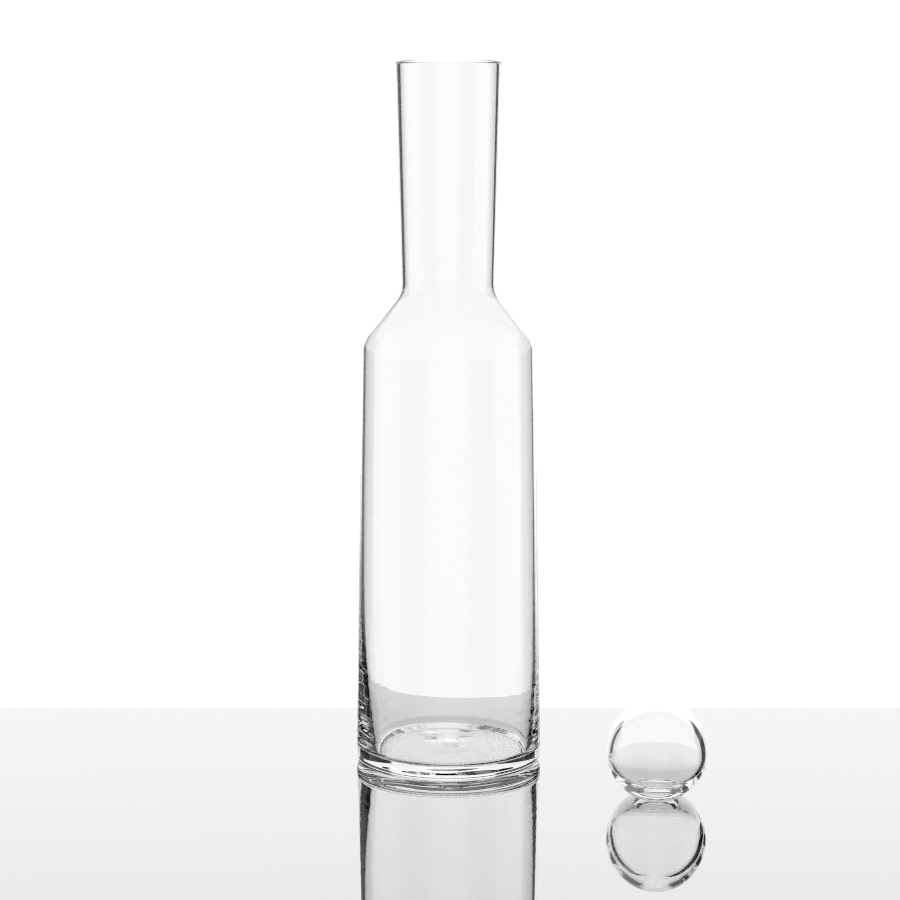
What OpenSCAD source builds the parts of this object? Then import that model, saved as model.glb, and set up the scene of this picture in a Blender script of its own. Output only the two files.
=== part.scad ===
// Wine decanter of clear blown glass: a bottle-shaped vessel with a tall open neck, and the hollow
// ball that stops its mouth, which here stands on the table beside it.
// Millimetres, +Z up. The origin is the centre of the vessel's base, on the table.
// The vessel and the ball are both turned shapes, so each is one outline of [radius, height] points
// spun about its own axis. A corner is [radius, height, rounding]: the rounding is the radius of
// the arc that replaces it, and 0 leaves it sharp.

/* [Vessel] */
// Height from the table to the rim
vessel_h = 320; // [300:1:340]
// Diameter of the body at the table, if its sides ran on past the rounded heel
heel_d = 85.2; // [80:0.1:92]
// Diameter of the body at the shoulder's edge
shoulder_d = 77.9; // [72:0.1:80]
// Height of the shoulder's edge
shoulder_z = 195.4; // [185:0.1:200]
// Diameter of the neck where it meets the shoulder
neck_d = 42; // [38:0.1:46]
// Height where the neck meets the shoulder
neck_z = 217.4; // [210:0.1:225]
// Outer diameter of the mouth
mouth_d = 47.4; // [44:0.1:52]

/* [Vessel roundings] */
// Radius of the heel
heel_round = 3.8; // [2:0.1:5]
// Outer radius of the shoulder's edge
shoulder_round = 15.5; // [8:0.5:18]
// Outer radius where the neck meets the shoulder
neck_round = 10.5; // [6:0.5:14]
// Radius of the melted edges of the rim
rim_round = 0.9; // [0.3:0.1:0.9]
// Radius between the inner wall and the inner floor
floor_round = 3.1; // [3:0.1:6]

/* [Vessel glass] */
// Wall at the lip
lip_wall = 2.1; // [1.9:0.1:3]
// Wall where the neck meets the shoulder
neck_wall = 1.6; // [1.3:0.1:3]
// Wall of the upper body
body_wall = 1.5; // [1.3:0.1:3]
// Extra wall that the body would have at the table, which fades away up the side
heel_extra = 5; // [3:0.1:7]
// Height over which that extra wall falls to a third
heel_fade = 40; // [20:1:45]
// Thickness of the base
base_h = 6; // [5:0.5:12]
// Diameter of the shallow polished hollow under the base
punt_d = 24; // [20:1:50]
// Depth of that hollow
punt_h = 0.2; // [0.1:0.1:1]

/* [Ball stopper] */
// Outer diameter of the ball
ball_d = 44.3; // [40:0.1:46]
// Height of the ball on its foot
ball_h = 43.7; // [41:0.1:46]
// Diameter of the flat foot that the ball stands on
foot_d = 20.4; // [12:0.1:22]
// Radius of the foot's edge
foot_round = 0.8; // [0.3:0.1:1.5]
// Wall at the ball's widest
ball_wall = 2.6; // [1.5:0.1:3.5]
// Thickness of the glass at the top of the ball
ball_crown = 5; // [3:0.1:8]
// Thickness of the glass above the foot
ball_floor = 3.6; // [3:0.1:6]
// How far the cavity's widest line lies below the ball's own
cavity_drop = 1.5; // [0:0.1:3]
// Distance of the ball to the right of the vessel's axis
ball_x = 92; // [70:1:120]
// Distance of the ball in front of the vessel's axis
ball_y = 60; // [0:1:90]

/* [Hidden] */
clear_glass = [0.93, 0.96, 0.97, 0.35];
$fn = 96;
arc_steps = 6;   // straight bands that stand for each rounded corner
wall_steps = 10; // straight bands up the fading inner wall of the body
bowl_steps = 12; // straight bands that stand for a quarter of the ball or of its cavity

function unit(v) = v / norm(v);
function polar(centre, radius, angle) = centre + radius * [cos(angle), sin(angle)];
function flat(corner) = [corner[0], corner[1]];

// The arc that rounds corner b on the way from a to c.
function corner_arc(a, b, c, radius) =
    let (
        back = unit(a - b),
        ahead = unit(c - b),
        half = acos(back * ahead) / 2,
        centre = b + unit(back + ahead) * radius / sin(half),
        start = b + back * radius / tan(half) - centre,
        first = atan2(start.y, start.x),
        turn = (cross(back, ahead) > 0 ? -1 : 1) * (180 - 2 * half)
    )
    [for (i = [0:arc_steps]) polar(centre, radius, first + turn * i / arc_steps)];

// An outline through the corners, each rounded by its own radius.
function rounded(corners) =
    let (last = len(corners) - 1)
    [
        for (i = [0:last])
            each (corners[i][2] == 0
                ? [flat(corners[i])]
                : corner_arc(flat(corners[i - 1]), flat(corners[i]), flat(corners[i + 1]), corners[i][2]))
    ];

// ---- Vessel ----
// How far the shoulder and the neck turn the side, measured in the outline.
taper = atan((heel_d - shoulder_d) / 2 / shoulder_z);
slope = atan((shoulder_d - neck_d) / 2 / (neck_z - shoulder_z));
flare = atan((mouth_d - neck_d) / 2 / (vessel_h - neck_z));
shoulder_drop = body_wall * tan((slope - taper) / 2);
neck_drop = neck_wall * tan((slope + flare) / 2);

// Radius of the body's outside, and of its inside, at height z.
function body_r(z) = (heel_d + (shoulder_d - heel_d) * z / shoulder_z) / 2;
function hollow_r(z) = body_r(z) - body_wall - heel_extra * exp(-z / heel_fade);

// The punt is a shallow cap: this is the radius of the sphere that it is cut from.
punt_r = (pow(punt_d / 2, 2) + pow(punt_h, 2)) / 2 / punt_h;
punt_sweep = asin(punt_d / 2 / punt_r);
punt_arc = [for (i = [0:arc_steps - 1]) polar([0, punt_h - punt_r], punt_r, 90 - punt_sweep * i / arc_steps)];

vessel_outside = [
    [body_r(0), 0, heel_round],
    [shoulder_d / 2, shoulder_z, shoulder_round],
    [neck_d / 2, neck_z, neck_round],
    [mouth_d / 2, vessel_h, rim_round]
];
hollow_top = shoulder_z - shoulder_drop;
fade_z = base_h + floor_round;
fade_top = hollow_top - shoulder_round;
vessel_inside = [
    [mouth_d / 2 - lip_wall, vessel_h, rim_round],
    [neck_d / 2 - neck_wall, neck_z - neck_drop, neck_round + neck_wall],
    [hollow_r(hollow_top), hollow_top, shoulder_round - body_wall],
    // The steps crowd towards the floor, where the wall thickens fastest.
    for (i = [wall_steps:-1:1])
        let (z = fade_z + (fade_top - fade_z) * pow(i / wall_steps, 2))
        [hollow_r(z), z, 0],
    [hollow_r(base_h), base_h, floor_round]
];

module decanter_vessel() {
    outline = concat(
        punt_arc,
        rounded(concat([[punt_d / 2, 0, 0]], vessel_outside, vessel_inside, [[0, base_h, 0]]))
    );
    color(clear_glass)
        rotate_extrude()
            polygon(outline);
}

// ---- Ball stopper ----
// Up to its widest line the ball is a sphere, cut off by the foot. Above that line it is half an
// ellipse, as tall as the rest of the ball.
ball_r = ball_d / 2;
ball_z = sqrt(pow(ball_r, 2) - pow(foot_d / 2, 2));
foot_angle = asin(ball_z / ball_r);

function ball_side(angle) = [
    ball_r * cos(angle),
    ball_z + (angle < 0 ? ball_r : ball_h - ball_z) * sin(angle)
];

// The cavity is half an ellipse above its widest line. Below, it is rather fuller than one.
cavity_r = ball_r - ball_wall;
cavity_z = ball_z - cavity_drop;
cavity_up = ball_h - ball_crown - cavity_z;
cavity_down = cavity_z - ball_floor;
fullness = 0.8;

function cavity_side(angle) = [
    cavity_r * pow(max(0, cos(angle)), angle < 0 ? fullness : 1),
    cavity_z + (angle < 0 ? cavity_down : cavity_up) * sin(angle)
];

module ball_stopper() {
    low_side = [for (i = [1:bowl_steps]) ball_side(-foot_angle * (1 - i / bowl_steps))];
    high_side = [for (i = [1:bowl_steps]) ball_side(90 * i / bowl_steps)];
    foot = rounded([[0, 0, 0], [foot_d / 2, 0, foot_round], concat(low_side[0], 0)]);
    cavity = [for (i = [-bowl_steps:bowl_steps]) cavity_side(90 * i / bowl_steps)];
    color(clear_glass)
        translate([ball_x, -ball_y, 0])
            difference() {
                rotate_extrude()
                    polygon(concat(foot, [for (i = [1:bowl_steps - 1]) low_side[i]], high_side));
                rotate_extrude()
                    polygon(cavity);
            }
}

decanter_vessel();
ball_stopper();
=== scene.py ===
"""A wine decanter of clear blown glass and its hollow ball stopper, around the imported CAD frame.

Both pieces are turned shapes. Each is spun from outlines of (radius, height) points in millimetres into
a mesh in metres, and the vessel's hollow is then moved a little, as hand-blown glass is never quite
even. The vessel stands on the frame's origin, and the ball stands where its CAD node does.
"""

import math

import bmesh
import bpy
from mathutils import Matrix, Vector, noise


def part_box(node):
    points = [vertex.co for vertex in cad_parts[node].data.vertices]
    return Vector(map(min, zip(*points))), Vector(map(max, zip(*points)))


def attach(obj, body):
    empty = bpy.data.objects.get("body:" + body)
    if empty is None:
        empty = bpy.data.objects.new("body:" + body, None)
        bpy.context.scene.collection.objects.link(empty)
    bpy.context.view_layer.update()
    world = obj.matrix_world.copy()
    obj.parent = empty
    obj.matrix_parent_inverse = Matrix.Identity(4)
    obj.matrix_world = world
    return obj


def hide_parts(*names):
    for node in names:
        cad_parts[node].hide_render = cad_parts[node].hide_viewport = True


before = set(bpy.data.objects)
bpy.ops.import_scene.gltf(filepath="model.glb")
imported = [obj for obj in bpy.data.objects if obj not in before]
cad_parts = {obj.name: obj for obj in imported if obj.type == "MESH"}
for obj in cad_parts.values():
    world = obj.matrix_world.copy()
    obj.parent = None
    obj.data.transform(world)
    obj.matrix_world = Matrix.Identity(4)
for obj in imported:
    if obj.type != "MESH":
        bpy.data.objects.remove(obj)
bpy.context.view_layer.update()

MM = 0.001

# ---- Vessel, in millimetres ----
VESSEL_H = 320
HEEL_D = 85.2
SHOULDER_D, SHOULDER_Z = 77.9, 195.4
NECK_D, NECK_Z = 42.0, 217.4
MOUTH_D = 47.4
HEEL_ROUND, SHOULDER_ROUND, NECK_ROUND, RIM_ROUND, FLOOR_ROUND = 3.8, 15.5, 10.5, 0.9, 3.1
LIP_WALL, NECK_WALL, BODY_WALL = 2.1, 1.6, 1.5
# Extra wall at the table, and the height over which it falls to a third.
HEEL_EXTRA, HEEL_FADE = 5.0, 40.0
BASE_H = 6.0
# The shallow hollow under the base.
PUNT_D, PUNT_H = 24.0, 0.2

# ---- Ball stopper, in millimetres ----
FOOT_D, FOOT_ROUND = 20.4, 0.8
BALL_WALL, BALL_CROWN, BALL_FLOOR = 2.6, 5.0, 3.6
# How far the cavity's widest line lies below the ball's own.
CAVITY_DROP = 1.5
# Below that line the cavity is fuller than half an ellipse, which would be 1.
CAVITY_FULLNESS = 0.8

# ---- How far the hollow strays from a true turned shape, in millimetres ----
# Each of these is at its fullest at the table, and fades away up the wall over its own height.
# The hollow sits a little to one side.
LEAN, LEAN_H = 1.0, 45.0
# The wall is thicker to the left and right than in front and behind.
SIDE_EXTRA, SIDE_H = 0.5, 30.0
# The wall is rippled, mostly to the left and right. Its front and back have only this share of it.
RIPPLE, RIPPLE_H = 0.08, 40.0
RIPPLE_FRONT = 0.06
# Height of one ripple, and how many there are across the radius.
RIPPLE_STEP, RIPPLE_ACROSS = 3.2, 2.2
# All of this fades out over the inner floor, from here to its centre.
CALM_R = 20.0
# Dimples in the inner floor, left by the tool: where each is (x and y), how wide and how deep.
DIMPLES = [(-9.9, 15.5, 3.4, 0.5), (8.2, 18.0, 3.8, 0.35), (0.5, 2.0, 3.6, 0.45)]

# ---- Mesh ----
# Columns round each piece, and the greatest length of a row, which is finer below a certain height.
COLUMNS = 300
STEP_MM, FINE_STEP_MM = 1.6, 0.7
FINE_BELOW_MM = 60
# Straight steps that stand for a rounded corner, the punt, the fading inner wall, and the ball's side.
ARC_STEPS, PUNT_STEPS, WALL_STEPS, BALL_STEPS = 14, 16, 60, 70
# A point of an outline that is nearer to the axis than this lies on it.
ON_AXIS_MM = 1e-6


# ---- Outlines ----
def corner_arc(a, b, c, radius):
    """The arc that rounds corner b on the way from a to c."""
    back = (a - b).normalized()
    ahead = (c - b).normalized()
    half = back.angle(ahead) / 2
    centre = b + (back + ahead).normalized() * radius / math.sin(half)
    start = b + back * radius / math.tan(half) - centre
    turn = math.copysign(math.pi - 2 * half, back.y * ahead.x - back.x * ahead.y)
    first = math.atan2(start.y, start.x)
    return [polar(centre, radius, first + turn * i / ARC_STEPS) for i in range(ARC_STEPS + 1)]


def polar(centre, radius, angle):
    return centre + radius * Vector((math.cos(angle), math.sin(angle)))


def rounded(corners):
    """An outline through (radius, height, rounding) corners; a rounding of 0 leaves one sharp."""
    flat = [Vector(corner[:2]) for corner in corners]
    points = []
    for i, corner in enumerate(corners):
        if corner[2] == 0:
            points.append(flat[i])
        else:
            points.extend(corner_arc(flat[i - 1], flat[i], flat[i + 1], corner[2]))
    return points


def filled_in(points):
    """The same outline with no two points further apart than a step, which is finer near the base."""
    dense = [points[0]]
    for a, b in zip(points, points[1:]):
        step = FINE_STEP_MM if min(a.y, b.y) < FINE_BELOW_MM else STEP_MM
        pieces = max(1, math.ceil((b - a).length / step))
        dense.extend(a.lerp(b, i / pieces) for i in range(1, pieces + 1))
    return dense


def body_r(z):
    return (HEEL_D + (SHOULDER_D - HEEL_D) * z / SHOULDER_Z) / 2


def hollow_r(z):
    return body_r(z) - BODY_WALL - HEEL_EXTRA * math.exp(-z / HEEL_FADE)


def punt_arc():
    """The hollow under the base, from its top on the axis to just before its edge: a shallow cap."""
    radius = ((PUNT_D / 2) ** 2 + PUNT_H ** 2) / 2 / PUNT_H
    centre = Vector((0, PUNT_H - radius))
    sweep = math.asin(PUNT_D / 2 / radius)
    return [polar(centre, radius, math.pi / 2 - sweep * i / PUNT_STEPS) for i in range(PUNT_STEPS)]


def vessel_outline():
    """The outside from the base's centre to the rim, and the inside from the rim to the floor's centre."""
    taper = math.atan((HEEL_D - SHOULDER_D) / 2 / SHOULDER_Z)
    slope = math.atan((SHOULDER_D - NECK_D) / 2 / (NECK_Z - SHOULDER_Z))
    flare = math.atan((MOUTH_D - NECK_D) / 2 / (VESSEL_H - NECK_Z))
    hollow_top = SHOULDER_Z - BODY_WALL * math.tan((slope - taper) / 2)
    neck_low = NECK_Z - NECK_WALL * math.tan((slope + flare) / 2)
    outside = punt_arc() + rounded([
        (PUNT_D / 2, 0, 0),
        (body_r(0), 0, HEEL_ROUND),
        (SHOULDER_D / 2, SHOULDER_Z, SHOULDER_ROUND),
        (NECK_D / 2, NECK_Z, NECK_ROUND),
        (MOUTH_D / 2, VESSEL_H, RIM_ROUND),
        (MOUTH_D / 2 - LIP_WALL, VESSEL_H, 0),
    ])[:-1]
    # The steps crowd towards the floor, where the wall thickens fastest.
    low, high = BASE_H + FLOOR_ROUND, hollow_top - SHOULDER_ROUND
    wall = [low + (high - low) * (i / WALL_STEPS) ** 2 for i in range(WALL_STEPS, 0, -1)]
    inside = rounded([
        (MOUTH_D / 2, VESSEL_H, 0),
        (MOUTH_D / 2 - LIP_WALL, VESSEL_H, RIM_ROUND),
        (NECK_D / 2 - NECK_WALL, neck_low, NECK_ROUND + NECK_WALL),
        (hollow_r(hollow_top), hollow_top, SHOULDER_ROUND - BODY_WALL),
        *[(hollow_r(z), z, 0) for z in wall],
        (hollow_r(BASE_H), BASE_H, FLOOR_ROUND),
        (0, BASE_H, 0),
    ])[1:]
    return filled_in(outside), filled_in(inside)


def ball_outside(ball_r, ball_h, widest_z):
    """From the foot's centre to the top: a sphere cut off by the foot, and half an ellipse above."""
    foot_angle = math.asin(widest_z / ball_r)
    side = []
    for i in range(BALL_STEPS + 1):
        angle = -foot_angle + (foot_angle + math.pi / 2) * i / BALL_STEPS
        reach = ball_r if angle < 0 else ball_h - widest_z
        side.append(Vector((ball_r * math.cos(angle), widest_z + reach * math.sin(angle))))
    side[-1].x = 0
    # The rounding of the foot's edge takes the place of the side's first points.
    clear = 3
    return rounded([(0, 0, 0), (FOOT_D / 2, 0, FOOT_ROUND), (*side[clear], 0)]) + side[clear + 1:]


def ball_cavity(ball_r, ball_h, widest_z):
    """From the cavity's top to its bottom."""
    cavity_z = widest_z - CAVITY_DROP
    points = []
    for i in range(BALL_STEPS + 1):
        angle = math.pi * (0.5 - i / BALL_STEPS)
        reach = ball_h - cavity_z - BALL_CROWN if angle > 0 else cavity_z - BALL_FLOOR
        fullness = 1 if angle > 0 else CAVITY_FULLNESS
        radius = (ball_r - BALL_WALL) * max(0, math.cos(angle)) ** fullness
        points.append(Vector((radius, cavity_z + reach * math.sin(angle))))
    return points


# ---- Meshes ----
def spin(shell, outline, shape=None, first=0):
    """Adds the outline, spun about the Z axis, to a bmesh. An end on the axis becomes a single point.

    From point number first on, shape moves each point, given its radius, height and angle.
    """
    rings = []
    for row, point in enumerate(outline):
        if point.x < ON_AXIS_MM:
            rings.append([shell.verts.new((0, 0, point.y * MM))])
            continue
        ring = []
        for column in range(COLUMNS):
            angle = math.tau * column / COLUMNS
            radius, height = shape(point.x, point.y, angle) if shape and row >= first else point
            x, y = polar(Vector((0, 0)), radius, angle)
            ring.append(shell.verts.new((x * MM, y * MM, height * MM)))
        rings.append(ring)
    for low, high in zip(rings, rings[1:]):
        for column in range(COLUMNS):
            after = (column + 1) % COLUMNS
            corners = [
                low[column % len(low)],
                low[after % len(low)],
                high[after % len(high)],
                high[column % len(high)],
            ]
            # Next to an end on the axis, two corners are the same point, and the face is a triangle.
            shell.faces.new(list(dict.fromkeys(corners)))


def finished(name, shell, place=(0, 0, 0)):
    """The bmesh as a smooth object, with its vertices moved to their place."""
    bmesh.ops.translate(shell, verts=shell.verts, vec=place)
    mesh = bpy.data.meshes.new(name)
    shell.to_mesh(mesh)
    shell.free()
    mesh.polygons.foreach_set("use_smooth", [True] * len(mesh.polygons))
    piece = bpy.data.objects.new(name, mesh)
    bpy.context.scene.collection.objects.link(piece)
    return piece


def fade(distance, reach):
    """Falls smoothly from 1 at no distance to about a third at the reach, and on towards 0."""
    return math.exp(-(distance / reach) ** 2)


def uneven_hollow(radius, z, angle):
    """Where a point of the hollow really is: low down it leans to one side and is rippled."""
    across = Vector((math.cos(angle), math.sin(angle)))
    lean = LEAN * fade(z, LEAN_H) * across.x
    side = SIDE_EXTRA * fade(z, SIDE_H) * across.x ** 2
    # Ripples of two sizes: the finer ones are half as tall.
    place = Vector((*(RIPPLE_ACROSS * across), z / RIPPLE_STEP))
    wave = noise.noise(place) + 0.5 * noise.noise(2 * place)
    strength = RIPPLE_FRONT + (1 - RIPPLE_FRONT) * across.x ** 4
    ripple = RIPPLE * strength * fade(z, RIPPLE_H) * wave
    moved = radius + min(1, radius / CALM_R) * (lean - side + ripple)
    above_floor = z > BASE_H + FLOOR_ROUND / 100
    if above_floor:
        return moved, z
    here = radius * across
    for x, y, width, depth in DIMPLES:
        z -= depth * fade((here - Vector((x, y))).length, width)
    return moved, z


def make_vessel():
    outside, inside = vessel_outline()
    shell = bmesh.new()
    spin(shell, outside + inside[1:], uneven_hollow, len(outside))
    return finished("vessel", shell)


def make_ball():
    low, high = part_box("ball_stopper")
    ball_r, ball_h = (high.x - low.x) / 2 / MM, (high.z - low.z) / MM
    widest_z = math.sqrt(ball_r ** 2 - (FOOT_D / 2) ** 2)
    shell = bmesh.new()
    spin(shell, filled_in(ball_outside(ball_r, ball_h, widest_z)))
    spin(shell, ball_cavity(ball_r, ball_h, widest_z))
    return finished("ball", shell, ((low.x + high.x) / 2, (low.y + high.y) / 2, low.z))


# ---- Nodes ----
def node(tree, kind, **settings):
    made = tree.nodes.new(kind)
    for key, value in settings.items():
        setattr(made, key, value)
    return made


def maths(operation, *values):
    """A Math node's result. Each value is a socket or a number, and at least one is a socket."""
    tree = next(value.id_data for value in values if isinstance(value, bpy.types.NodeSocket))
    made = node(tree, "ShaderNodeMath", operation=operation)
    for socket, value in zip(made.inputs, values):
        if isinstance(value, bpy.types.NodeSocket):
            tree.links.new(value, socket)
        else:
            socket.default_value = value
    return made.outputs[0]


def remapped(value, source, target, kind="LINEAR"):
    """The value taken from one range, given as a pair, to another, and held at its ends."""
    made = node(value.id_data, "ShaderNodeMapRange", interpolation_type=kind)
    for name, number in zip(("From Min", "From Max", "To Min", "To Max"), (*source, *target)):
        made.inputs[name].default_value = number
    value.id_data.links.new(value, made.inputs["Value"])
    return made.outputs[0]


def noise_texture(place, scale, detail):
    made = node(place.id_data, "ShaderNodeTexNoise")
    made.inputs["Scale"].default_value = scale
    made.inputs["Detail"].default_value = detail
    place.id_data.links.new(place, made.inputs["Vector"])
    return made.outputs["Fac"]


# ---- Glass ----
IOR = 1.5
# Share of its mirroring that is left where light meets it square on.
SQUARE_ON = 0.25
# Each pattern's scale and detail. Cords and waves are drawn out along the height, so many times.
CORD_NOISE, WAVE_NOISE, MARK_NOISE = (40, 3), (90, 1), (30, 4)
DRAWN_OUT = 5
# The glass's colour in its cords and between them.
CORD_COLOURS = (0.931, 0.933, 0.933, 1), (0.942, 0.942, 0.942, 1)
# Finger marks begin and are full where their pattern has these values. Then how rough they are.
MARKS_FROM, MARKS_FULL, MARKS_ROUGH = 0.55, 0.75, 0.015
# How strongly the waves show, and their height in metres.
WAVE_STRENGTH, WAVE_H = 0.02, 0.001


def glass(name, shift):
    """Clear blown glass: faint colour cords drawn out along its height, faint waves and finger marks.

    The shift moves the cords and waves, so that no two pieces have the same.
    """
    material = bpy.data.materials.new(name)
    material.use_nodes = True
    tree = material.node_tree
    shader = tree.nodes["Principled BSDF"]
    shader.inputs["Specular Tint"].default_value = (SQUARE_ON, SQUARE_ON, SQUARE_ON, 1)
    shader.inputs["IOR"].default_value = IOR
    shader.inputs["Transmission Weight"].default_value = 1.0

    coords = node(tree, "ShaderNodeTexCoord").outputs["Object"]
    drawn = node(tree, "ShaderNodeMapping")
    drawn.inputs["Location"].default_value = shift
    drawn.inputs["Scale"].default_value = (1, 1, 1 / DRAWN_OUT)
    tree.links.new(coords, drawn.inputs["Vector"])

    cords = node(tree, "ShaderNodeValToRGB")
    for element, colour in zip(cords.color_ramp.elements, CORD_COLOURS):
        element.color = colour
    tree.links.new(noise_texture(drawn.outputs[0], *CORD_NOISE), cords.inputs["Fac"])
    tree.links.new(cords.outputs["Color"], shader.inputs["Base Color"])

    marks = noise_texture(coords, *MARK_NOISE)
    roughness = remapped(marks, (MARKS_FROM, MARKS_FULL), (0, MARKS_ROUGH))
    tree.links.new(roughness, shader.inputs["Roughness"])

    waves = node(tree, "ShaderNodeBump")
    waves.inputs["Strength"].default_value = WAVE_STRENGTH
    waves.inputs["Distance"].default_value = WAVE_H
    tree.links.new(noise_texture(drawn.outputs[0], *WAVE_NOISE), waves.inputs["Height"])
    tree.links.new(waves.outputs["Normal"], shader.inputs["Normal"])
    return material


vessel = make_vessel()
vessel.data.materials.append(glass("vessel_glass", (0, 0, 0)))
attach(vessel, "vessel")
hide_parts("decanter_vessel")

ball = make_ball()
ball.data.materials.append(glass("stopper_glass", (5, 2, 1)))
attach(ball, "stopper")
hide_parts("ball_stopper")


# ---- Table, in metres ----
# It is polished, and ends a little way behind the decanter. It lies a hair below z = 0, so that it
# doesn't coincide with the base.
TABLE_X, TABLE_FRONT, TABLE_BACK = 4.0, -6.0, 0.093
TABLE_Z = -0.00005
# It mirrors most of the light that meets it at a low angle, and less at a steep one (degrees).
SHINE_LOW, SHINE_STEEP = 15, 24
SHINE_MOST, SHINE_LEAST = 0.79, 0.56


def polish():
    """A mirror whose brightness follows the angle that it is seen at."""
    material = bpy.data.materials.new("table")
    material.use_nodes = True
    tree = material.node_tree
    shader = tree.nodes["Principled BSDF"]
    shader.inputs["Metallic"].default_value = 1.0
    shader.inputs["Roughness"].default_value = 0.0
    # Facing, at a blend of 0.5, is one less the sine of the angle between the view and the table.
    facing = node(tree, "ShaderNodeLayerWeight")
    facing.inputs["Blend"].default_value = 0.5
    steep, low = (1 - math.sin(math.radians(angle)) for angle in (SHINE_STEEP, SHINE_LOW))
    shine = remapped(facing.outputs["Facing"], (steep, low), (SHINE_LEAST, SHINE_MOST))
    tree.links.new(shine, shader.inputs["Base Color"])
    return material


def make_table():
    corners = [(x, y, TABLE_Z) for y in (TABLE_FRONT, TABLE_BACK) for x in (-TABLE_X, TABLE_X)]
    mesh = bpy.data.meshes.new("table")
    mesh.from_pydata(corners, [], [(0, 1, 3, 2)])
    mesh.materials.append(polish())
    table = bpy.data.objects.new("table", mesh)
    bpy.context.scene.collection.objects.link(table)


make_table()

# ---- World ----
# A pale tent of light all round. Light that the glass has turned sees each wall of the tent as an
# oval pool of light with dark round it. This draws the outlines of the glass, and leaves the table
# and whatever is seen straight through the glass plain. It stands in for black cards round the tent:
# the dark depends on how often light was turned and how many surfaces it passed, as no real room's
# does. Angles are in degrees.
TENT = 1.09
# The pools lie a quarter turn apart, the first a little off the +Y axis. These are their half width
# and half height, and the width of their soft edge as a share of that.
POOL_TURN = 3
POOL_WIDE, POOL_TALL = 24.5, 21
POOL_EDGE = 0.15
# Light that was turned three or four times sees a band of light all round instead. This is the
# band's half height, and the middle and half width of that range of turns.
BAND_TALL = 30
BAND_TURNS, BAND_SPREAD = 3.5, 1
# Where the dark ends above: for light turned once, and for light turned again.
DARK_TOP, DARK_TOP_AGAIN = 20, 75
DARK_TOP_EDGE = 6
# The times that light must be turned to count as turned again, often, many times, or caught inside.
AGAIN, OFTEN, MANY, CAUGHT = 2, 3, 5, 10
# Surfaces of the glass that light goes through: few, up to this many, and the number above it that
# still sees the dark.
FEW_SURFACES, DARK_SURFACES = 3, 6
# Share of the dark that is seen by light turned often, by the same through more surfaces, and by
# light that is caught.
DARK_OFTEN, DARK_THROUGH, DARK_CAUGHT = 0.8, 0.95, 0.95
# Extra light for what is seen through at least this many surfaces.
THROUGH_GAIN, GAIN_SURFACES = 0.2, 5


# A flag is a socket that is 1 or 0.
def at_least(value, count):
    """A flag: whether a whole number has reached the count."""
    return maths("GREATER_THAN", value, count - 0.5)


def both(a, b):
    return maths("MULTIPLY", a, b)


def either(a, b):
    return maths("MAXIMUM", a, b)


def without(flag):
    return maths("SUBTRACT", 1, flag)


def pick(flag, off, on):
    """One of two numbers: off or on, as the flag is 0 or 1."""
    return maths("MULTIPLY_ADD", flag, on - off, off)


def direction(tree):
    """Where light comes from: the angle round from the nearest pool's middle, and the angle up."""
    coords = node(tree, "ShaderNodeTexCoord")
    split = node(tree, "ShaderNodeSeparateXYZ")
    tree.links.new(coords.outputs["Generated"], split.inputs[0])
    angle = maths("ARCTAN2", split.outputs["X"], split.outputs["Y"])
    angle = maths("SUBTRACT", angle, math.radians(POOL_TURN))
    return maths("PINGPONG", angle, math.pi / 4), maths("ARCSINE", split.outputs["Z"])


def dark_shape(around, rise, turned, below, few):
    """1 in the dark round the pools or the band of light, and 0 in them and above the dark's top."""
    # How far out of its pool a direction lies: 1 is the pool's edge, which is a rounded rectangle.
    banded = maths("COMPARE", turned, BAND_TURNS, BAND_SPREAD)
    wide = maths("POWER", maths("DIVIDE", around, math.radians(POOL_WIDE)), 4)
    wide = both(wide, without(banded))
    half_height = pick(banded, math.radians(POOL_TALL), math.radians(BAND_TALL))
    tall = maths("POWER", maths("ABSOLUTE", maths("DIVIDE", rise, half_height)), 4)
    # Its height counts only through few surfaces, and upwards only for light turned often.
    tall = both(tall, both(few, either(below, at_least(turned, OFTEN))))
    outward = maths("POWER", maths("ADD", wide, tall), 0.25)
    dark = remapped(outward, (1 - POOL_EDGE / 2, 1 + POOL_EDGE / 2), (0, 1), "SMOOTHSTEP")

    top = pick(at_least(turned, AGAIN), math.radians(DARK_TOP), math.radians(DARK_TOP_AGAIN))
    edge = math.radians(DARK_TOP_EDGE) / 2
    under_top = remapped(maths("SUBTRACT", rise, top), (-edge, edge), (1, 0), "SMOOTHSTEP")
    return both(dark, under_top)


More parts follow.
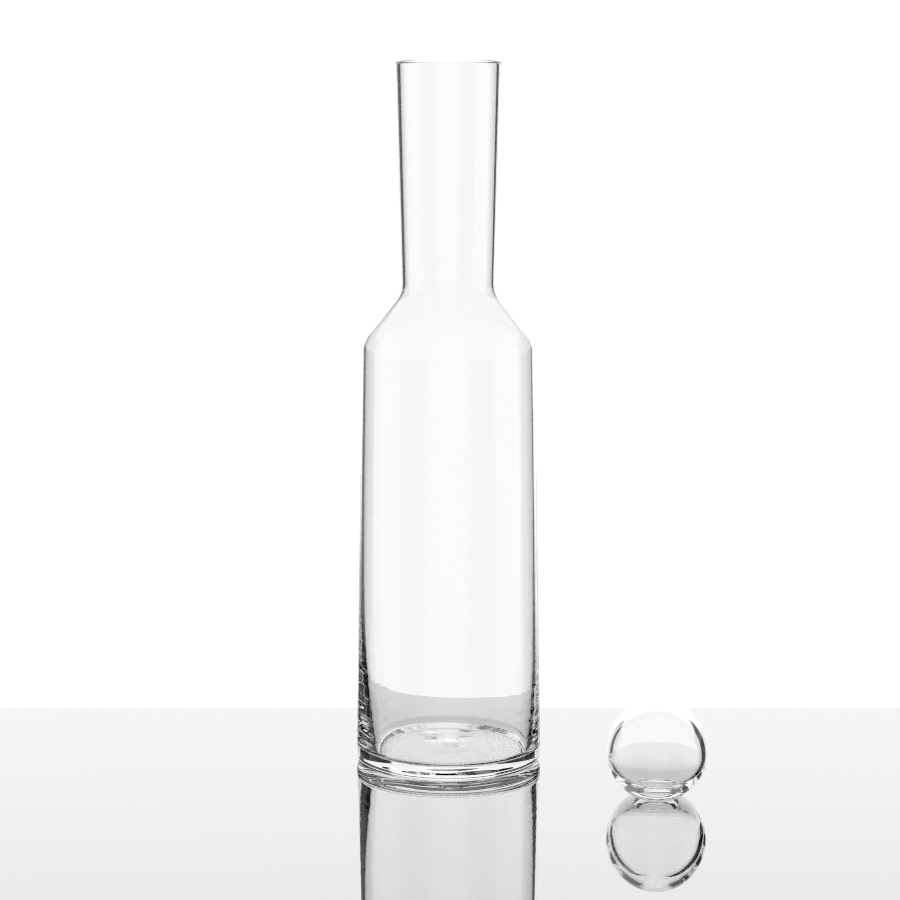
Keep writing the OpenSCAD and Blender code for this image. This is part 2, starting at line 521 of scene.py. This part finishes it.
def dark_seen(passed, turned, below, few):
    """A flag: whether light that was turned so often, and passed so many surfaces, sees the dark."""
    # Only turned light does, and not what one mirroring alone sends up, such as the table's.
    beyond_table = either(at_least(passed, 1), either(below, at_least(turned, AGAIN)))
    # Past few surfaces it takes many turns, DARK_SURFACES apart, so that the table stays plain where it
    # is seen through the glass.
    surfaces = either(few, maths("COMPARE", passed, DARK_SURFACES, 0.5))
    surfaces = either(surfaces, at_least(turned, MANY))
    return both(both(at_least(turned, 1), beyond_table), surfaces)


def dark_share(turned, few):
    """How much of the dark is seen: all of it by light that wasn't turned often, and then less."""
    share = pick(few, DARK_THROUGH, DARK_OFTEN)
    share = either(share, maths("MULTIPLY", at_least(turned, CAUGHT), DARK_CAUGHT))
    return either(share, without(at_least(turned, OFTEN)))


def make_world():
    world = bpy.data.worlds.new("studio")
    world.use_nodes = True
    bpy.context.scene.world = world
    tree = world.node_tree
    path = node(tree, "ShaderNodeLightPath")
    passed = path.outputs["Transmission Depth"]
    turned = path.outputs["Glossy Depth"]
    around, rise = direction(tree)
    below = without(maths("GREATER_THAN", rise, 0))
    few = without(at_least(passed, FEW_SURFACES + 1))

    dark = dark_shape(around, rise, turned, below, few)
    dark = both(dark, both(dark_seen(passed, turned, below, few), dark_share(turned, few)))
    level = pick(at_least(passed, GAIN_SURFACES), TENT, TENT * (1 + THROUGH_GAIN))
    tree.links.new(both(level, without(dark)), tree.nodes["Background"].inputs["Color"])


make_world()

# ---- Camera ----
# Where it is, in metres, and how far it looks down.
CAMERA_AT = (0.0007, -1.275, 0.353)
CAMERA_DOWN = math.radians(9.28)
LENS_MM, SENSOR_MM = 113.6, 36
# How often light may be turned or pass a surface before it is given up.
BOUNCES = 40
# Width in pixels over which neighbouring light is blended.
PIXEL_BLEND = 1.1


def make_camera():
    camera = bpy.data.objects.new("camera", bpy.data.cameras.new("camera"))
    camera.location = CAMERA_AT
    camera.rotation_euler = (math.pi / 2 - CAMERA_DOWN, 0, 0)
    camera.data.lens = LENS_MM
    camera.data.sensor_width = SENSOR_MM
    scene = bpy.context.scene
    scene.collection.objects.link(camera)
    scene.camera = camera
    scene.view_settings.view_transform = "Standard"
    scene.cycles.filter_width = PIXEL_BLEND
    scene.cycles.max_bounces = BOUNCES
    scene.cycles.transmission_bounces = BOUNCES
    scene.cycles.glossy_bounces = BOUNCES


make_camera()
